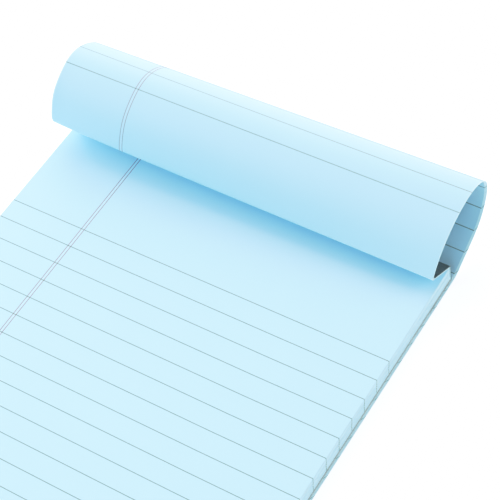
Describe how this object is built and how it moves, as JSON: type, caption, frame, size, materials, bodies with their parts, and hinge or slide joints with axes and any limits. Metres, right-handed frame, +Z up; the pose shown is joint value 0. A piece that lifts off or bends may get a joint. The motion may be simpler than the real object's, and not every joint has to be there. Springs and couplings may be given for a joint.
{
  "type": "legal pad",
  "caption": "Top-bound ruled writing pad lying flat, its top sheets folded back over the taped binding in a loose curl and tucked under the chipboard back.",
  "frame": {"origin": "centre of the pad, seen from above, on the plane that the pad lies on", "axes": "+X across the page to its right edge, +Y up the page toward the binding, +Z up out of the page"},
  "size_m": [0.127, 0.2253, 0.0309],
  "materials": {
    "page_paper": "uncoated pale blue writing paper with printed rules",
    "chipboard": "plain grey",
    "padding_glue": "dried padding compound",
    "tape": "fine grained charcoal binding paper"
  },
  "bodies": {
    "root": {"sheet_stack": "page_paper", "flipped_sheets": "page_paper", "backing_board": "chipboard", "spine_glue": "padding_glue", "binding_tape": "tape"}
  },
  "joints": []
}
